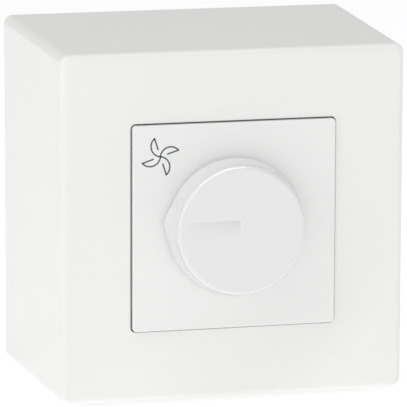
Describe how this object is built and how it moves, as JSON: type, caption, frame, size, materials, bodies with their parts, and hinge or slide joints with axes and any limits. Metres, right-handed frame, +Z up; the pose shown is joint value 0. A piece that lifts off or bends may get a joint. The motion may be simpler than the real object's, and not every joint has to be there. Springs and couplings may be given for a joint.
{
  "type": "surface-mounted rotary fan speed controller",
  "caption": "Square box-shaped wall control for a ventilation fan, with a drafted hood, an inset centre plate and a round pointer knob on a switched potentiometer.",
  "frame": {"origin": "centre of the back face, in the plane of the wall", "axes": "+Z up, +Y into the wall, +X to the right of a person who faces the control; the front looks along -Y"},
  "size_m": [0.0844, 0.0655, 0.0844],
  "materials": {
    "housing_white": "satin moulded urea plastic",
    "plate_white": "satin moulded urea plastic",
    "knob_white": "smooth gloss plastic",
    "base_white": "matt moulded plastic",
    "grommet_black": "matt rubber",
    "zinc_steel": "zinc-plated steel",
    "case_black": "matt moulded plastic",
    "board_green": "laminate with lacquer",
    "track_brown": "laminated paper board",
    "bare_brass": "rolled brass",
    "inner_white": "moulded acetal",
    "part_black": "moulded epoxy",
    "sink_aluminium": "rolled aluminium",
    "core_grey": "coated iron powder",
    "wire_copper": "enamelled copper",
    "capacitor_yellow": "moulded box",
    "fuse_clear": "clear glass tube",
    "resistor_tan": "lacquered body",
    "diac_blue": "lacquered body",
    "trimmer_blue": "moulded body",
    "terminal_green": "moulded polyamide",
    "print_grey": "pad-printed ink"
  },
  "bodies": {
    "root": {"housing_cover": "housing_white", "wall_base": "base_white", "cable_grommet": "grommet_black", "support_ring": "zinc_steel", "ring_screws": "zinc_steel", "module_lid": "case_black", "module_case": "case_black", "module_screws": "zinc_steel", "circuit_board": "board_green", "pot_body": "zinc_steel", "pot_bushing": "bare_brass", "pot_track": "track_brown", "pot_terminals": "bare_brass", "pot_nut": "zinc_steel", "switch_can": "zinc_steel", "switch_contacts": "bare_brass", "centre_plate": "plate_white", "plate_washer": "zinc_steel", "plate_nut": "zinc_steel", "triac_body": "part_black", "triac_tab": "zinc_steel", "triac_screw": "zinc_steel", "heat_sink": "sink_aluminium", "choke_core": "core_grey", "choke_winding": "wire_copper", "film_capacitor": "capacitor_yellow", "fuse_glass": "fuse_clear", "fuse_wire": "zinc_steel", "fuse_caps": "zinc_steel", "fuse_clips": "bare_brass", "resistors": "resistor_tan", "diac": "diac_blue", "trimmer_body": "trimmer_blue", "terminal_block": "terminal_green", "terminal_clamps": "bare_brass", "terminal_screws": "zinc_steel"},
    "control_spindle": {"knob": "knob_white", "knob_spring": "zinc_steel", "pot_shaft": "zinc_steel", "pot_rotor": "inner_white", "pot_wiper": "bare_brass", "switch_cam": "inner_white"},
    "switch_lever": {"switch_arm": "bare_brass"},
    "trimmer": {"trimmer_rotor": "inner_white"}
  },
  "joints": [
    {"name": "knob_turn", "type": "hinge", "parent": "root", "child": "control_spindle", "pos_m": [0, -0.058, 0], "axis": [0, 1, 0], "range_deg": [-60, 240]},
    {"name": "switch_flip", "type": "hinge", "parent": "root", "child": "switch_lever", "pos_m": [-0.0078, -0.0376, 0], "axis": [0, 1, 0], "range_deg": [-8, 0]},
    {"name": "trimmer_turn", "type": "hinge", "parent": "root", "child": "trimmer", "pos_m": [0.016, -0.0375, 0.015], "axis": [0, 1, 0], "range_deg": [-135, 135]}
  ]
}
